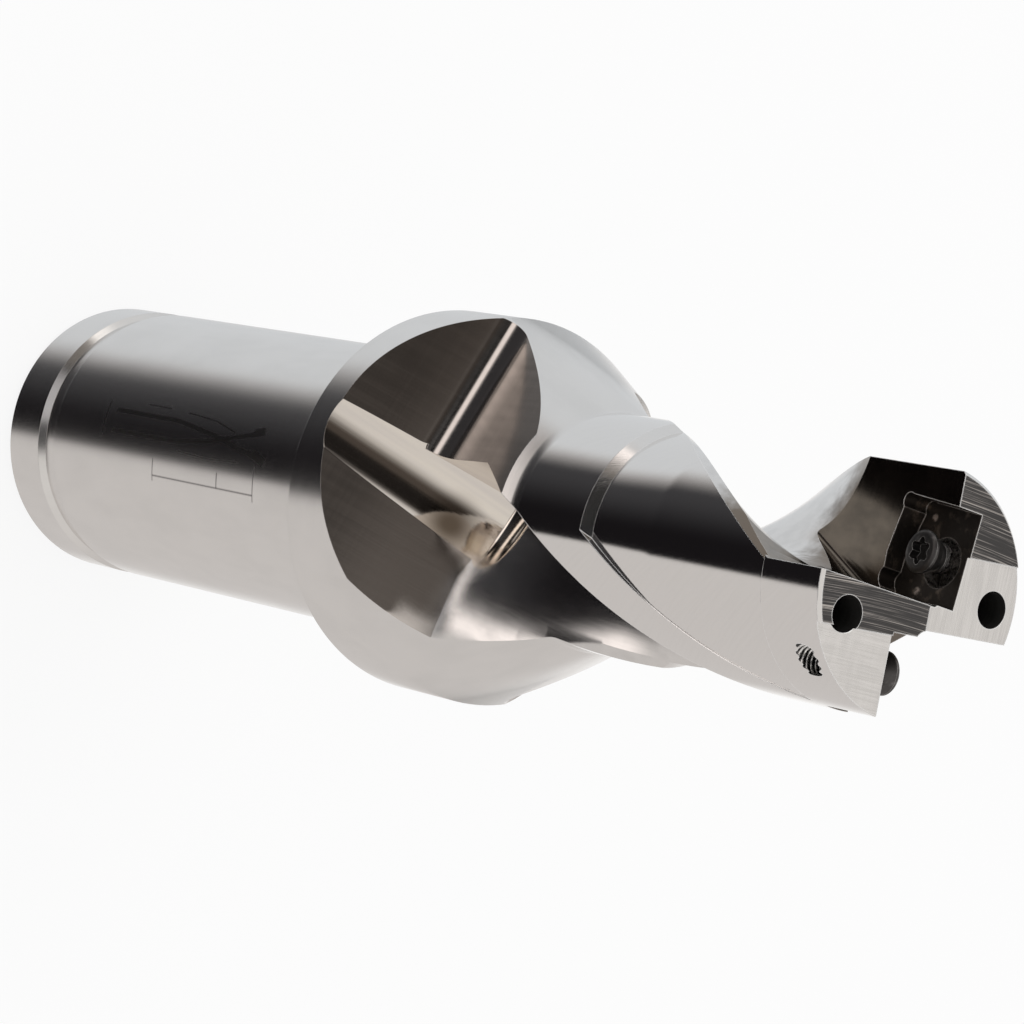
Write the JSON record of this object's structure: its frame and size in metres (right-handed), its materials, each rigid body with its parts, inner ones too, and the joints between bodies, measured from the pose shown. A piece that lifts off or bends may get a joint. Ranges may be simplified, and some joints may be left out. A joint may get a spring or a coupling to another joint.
{
  "type": "indexable drill",
  "caption": "Short indexable drill with a flanged cylindrical shank, two helical flutes, coolant channels and two insert pockets with clamping screws.",
  "frame": {"origin": "centre of the shank's rear face", "axes": "+Z along the drill's axis towards the cutting end; the flat face over the pocket near the centre looks towards -Y"},
  "size_m": [0.0332, 0.0332, 0.119],
  "materials": {
    "drill_body": "bright nickel-plated steel, turned and milled, lightly polished",
    "clamping_screw": "dark grey hardened steel"
  },
  "bodies": {
    "root": {"drill_body": "drill_body", "peripheral_insert_screw": "clamping_screw", "central_insert_screw": "clamping_screw"}
  },
  "joints": []
}
